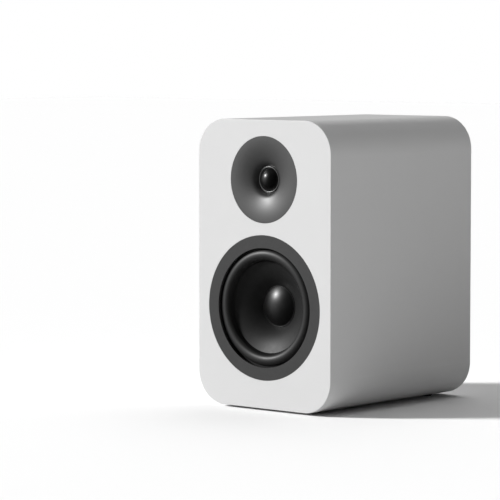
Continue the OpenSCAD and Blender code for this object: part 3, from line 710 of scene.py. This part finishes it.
def woofer_spider():
    """A corrugated disc with a flat rim and a collar round the coil's former."""
    count = SPIDER_WAVES * 16
    front = [(SPIDER_CLOTH_R + (SPIDER_FLAT_R - SPIDER_CLOTH_R) * i / count, spider_depth(i / count))
             for i in range(count + 1)]
    back = [(radius, depth + SPIDER_T) for radius, depth in reversed(front)]
    rim = [(SPIDER_R, SPIDER_D), (SPIDER_R, SPIDER_D + SPIDER_T)]
    collar_front = [(SPIDER_COLLAR_R, SPIDER_D - 0.8), (SPIDER_CLOTH_R + JOIN, SPIDER_D - 0.8)]
    collar_back = [(SPIDER_CLOTH_R + JOIN, SPIDER_D + 1.4), (SPIDER_COLLAR_R, SPIDER_D + 1.4)]
    outline = collar_front + front + rim + back + collar_back
    piece = lathe("spider_disc", outline, WOOFER, SPIDER)
    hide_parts("woofer_spider")
    stretch_between(piece)


# The roll round the tweeter's dome in millimetres.
BEAD_R, BEAD_HALF_W, BEAD_H, BEAD_T = 13.05, 0.8, 0.8, 0.3
BEAD_FLANGE_R = 16.6


def tweeter_surround():
    """A thin half roll with a flange that the waveguide holds."""
    bead_d = (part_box("tweeter_surround")[0].y - FRONT_Y) / MM + BEAD_H
    over = arc(BEAD_R, bead_d, BEAD_HALF_W, BEAD_H, 0, 180, 20)
    under = arc(BEAD_R, bead_d + BEAD_T, BEAD_HALF_W - BEAD_T, BEAD_H - BEAD_T, 180, 0, 14)
    flange_front = [(BEAD_FLANGE_R, bead_d + 0.6), (13.95, bead_d + 0.6)]
    flange_back = [(13.7, bead_d + 0.85), (BEAD_FLANGE_R, bead_d + 0.85)]
    inner_edge = [(BEAD_R - BEAD_HALF_W, bead_d + BEAD_T)]
    outline = flange_front + over + inner_edge + under + flange_back
    piece = lathe("tweeter_roll", outline, TWEETER, BEAD)
    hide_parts("tweeter_surround")
    stretch_between(piece)


def spline(p0, p1, p2, p3, t):
    """The point at t from p1 to p2 on a Catmull-Rom curve."""
    return 0.5 * (2 * p1 + (p2 - p0) * t + (2 * p0 - 5 * p1 + 4 * p2 - p3) * t * t
                  + (3 * p1 - p0 - 3 * p2 + p3) * t ** 3)


def smooth_path(points, steps):
    """A curve through the points, as the CAD's wires take."""
    path = []
    last = len(points) - 1
    for i in range(last):
        corners = points[max(i - 1, 0)], points[i], points[i + 1], points[min(i + 2, last)]
        path += [spline(*corners, k / steps) for k in range(steps)]
    return path + [points[last]]


def tube(path, radius, sides, vertices, faces):
    """Adds a closed round tube along a path to the lists."""
    side = Vector((0.31, 0.52, 0.79))
    base, last = len(vertices), len(path) - 1
    for i, point in enumerate(path):
        ahead = (path[min(i + 1, last)] - path[max(i - 1, 0)]).normalized()
        side = (side - ahead * side.dot(ahead)).normalized()
        other = ahead.cross(side)
        for k in range(sides):
            a = 2 * math.pi * k / sides
            vertices.append(point + radius * (math.cos(a) * side + math.sin(a) * other))
    for i in range(last):
        for k in range(sides):
            m = (k + 1) % sides
            first, second = base + i * sides, base + (i + 1) * sides
            faces.append((first + k, first + m, second + m, second + k))
    faces.append([base + k for k in reversed(range(sides))])
    faces.append([base + last * sides + k for k in range(sides)])


# Stops of one tinsel lead, from the terminal strip to the cone's neck, in millimetres:
# distance to the left of the woofer's axis, distance up or down from it, depth behind the front.
TINSEL_STOPS = [
    (45.5, 6, 37.9), (45, 6, 33), (39, 6, 27.5), (29, 5.8, 25.5), (25, 5.6, 24.6), (24.2, 5.4, 23.4),
]
TINSEL_R = 0.45


def tinsel_leads():
    vertices, faces = [], []
    for side in (-1, 1):
        points = [Vector((WOOFER.x - left * MM, FRONT_Y + depth * MM, WOOFER.z + side * off * MM))
                  for left, off, depth in TINSEL_STOPS]
        tube(smooth_path(points, 10), TINSEL_R * MM, 12, vertices, faces)
    piece = piece_from_lists("tinsel_pair", vertices, faces, braid())
    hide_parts("woofer_tinsel_leads")
    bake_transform(piece)


FELT_EDGE = 0.45                # thickness of the felt at its edge, as a share of its full thickness
FELT_RISE = 0.42                # what it gains towards its middle
FELT_LUMP = 0.10                # how uneven that middle is
FELT_FULLEST = 0.98             # what it never exceeds
FELT_TUG = 0.012                # how far its outline is drawn in here and there


def felt_rise(u, v):
    """1 over most of the pad, falling off round its rim, where u and v run from -1 to 1."""
    return max(0.0, 1 - abs(u) ** 10) ** 0.35 * max(0.0, 1 - abs(v) ** 20) ** 0.35


def felt_pad(node, side):
    """Felt laid flat against a side wall: soft rounded edges, and an uneven face where it bulges."""
    low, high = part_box(node)
    middle, half = (low + high) / 2, (high - low) / 2
    thickness = 2 * half.x
    shell = bmesh.new()
    bmesh.ops.create_grid(shell, x_segments=44, y_segments=80, size=1)
    extruded = bmesh.ops.extrude_face_region(shell, geom=shell.faces[:])
    raised = {item for item in extruded["geom"] if isinstance(item, bmesh.types.BMVert)}
    for vertex in shell.verts:
        u, v = vertex.co.x, vertex.co.y
        inward = 0.0
        if vertex in raised:
            lump = noise.fractal(Vector((u * 3.1, v * 6.3, side)), 0.8, 2.1, 4)
            share = FELT_EDGE + (FELT_RISE + FELT_LUMP * lump) * felt_rise(u, v)
            inward = min(share, FELT_FULLEST) * thickness
        pull = 1 - FELT_TUG * (1 - math.cos(8 * math.pi * u * v)) / 2
        vertex.co = Vector((middle.x + side * (half.x - inward),
                            middle.y + u * half.y * 0.985 * pull,
                            middle.z + v * half.z * 0.99 * pull))
    bmesh.ops.recalc_face_normals(shell, faces=shell.faces[:])
    mesh = bpy.data.meshes.new(f"felt_{node}")
    shell.to_mesh(mesh)
    shell.free()
    piece = add_piece(mesh, FELT, sharp=75)
    rounding = piece.modifiers.new("rounding", "SUBSURF")
    rounding.levels = rounding.render_levels = 1
    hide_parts(node)
    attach(piece, "cabinet")


woofer_surround()
woofer_spider()
tweeter_surround()
tinsel_leads()
felt_pad("wadding_left", -1)
felt_pad("wadding_right", 1)


# ---- floor, light and world ----

FLOOR_HALF = 12


def make_floor():
    """A pale sheet far wider than the view. The speaker's glossy parts don't mirror it."""
    corners = [(-FLOOR_HALF, -FLOOR_HALF, 0), (FLOOR_HALF, -FLOOR_HALF, 0),
               (FLOOR_HALF, FLOOR_HALF, 0), (-FLOOR_HALF, FLOOR_HALF, 0)]
    mesh = bpy.data.meshes.new("floor")
    mesh.from_pydata(corners, [], [(0, 1, 2, 3)])
    mesh.materials.append(Shader("floor_paper", grey(0.9), 0.9, specular=0.0).material)
    floor = bpy.data.objects.new("floor", mesh)
    bpy.context.scene.collection.objects.link(floor)
    floor.visible_glossy = False
    return floor


KEY_AZIMUTH, KEY_ELEVATION = -48.5, 24
KEY_SPREAD = 9                  # degrees


def key_sun(name, strength, only=None):
    """A soft distant light from the left. With only, it lights that one object."""
    data = bpy.data.lights.new(name, "SUN")
    data.energy, data.angle = strength, math.radians(KEY_SPREAD)
    light = bpy.data.objects.new(name, data)
    light.rotation_mode = "QUATERNION"
    light.rotation_quaternion = (-toward(KEY_AZIMUTH, KEY_ELEVATION)).to_track_quat("-Z", "Y")
    bpy.context.scene.collection.objects.link(light)
    if only is not None:
        group = bpy.data.collections.new(name + "_lights")
        group.objects.link(only)
        light.light_linking.receiver_collection = group


# Broad soft panels round the speaker: azimuth, elevation, strength.
PANELS = [
    (0, 90, 0.29),
    (131, 5, 0.56),
    (180, 65, 1.62),
    (-139, 35, 1.03),
    (-49, 5, 1.39),
]
PANEL_FOCUS = 12                # higher is narrower


def make_world():
    """Soft panels for every ray except the camera's own, which sees a plain white backdrop."""
    world = bpy.data.worlds.new("studio")
    world.use_nodes = True
    bpy.context.scene.world = world
    tree = world.node_tree
    direction = tree.nodes.new("ShaderNodeTexCoord").outputs["Generated"]

    def step(operation, *values):
        node = tree.nodes.new("ShaderNodeMath")
        node.operation = operation
        for socket, value in zip(node.inputs, values):
            if isinstance(value, (int, float)):
                socket.default_value = value
            else:
                tree.links.new(value, socket)
        return node.outputs["Value"]

    total = 0.0
    for azimuth, elevation, strength in PANELS:
        dot = tree.nodes.new("ShaderNodeVectorMath")
        dot.operation = "DOT_PRODUCT"
        dot.inputs[1].default_value = toward(azimuth, elevation)
        tree.links.new(direction, dot.inputs[0])
        spread = step("POWER", step("MAXIMUM", dot.outputs["Value"], 0.0), PANEL_FOCUS)
        total = step("MULTIPLY_ADD", spread, strength, total)
    backdrop = tree.nodes.new("ShaderNodeLightPath").outputs["Is Camera Ray"]
    total = step("MAXIMUM", total, backdrop)
    tree.links.new(total, tree.nodes["Background"].inputs["Strength"])
    tree.nodes["Background"].inputs["Color"].default_value = (1, 1, 1, 1)


FLOOR = make_floor()
key_sun("key", 3.2)
key_sun("floor_wash", 2.37, only=FLOOR)
make_world()
bpy.context.scene.view_settings.view_transform = "Standard"
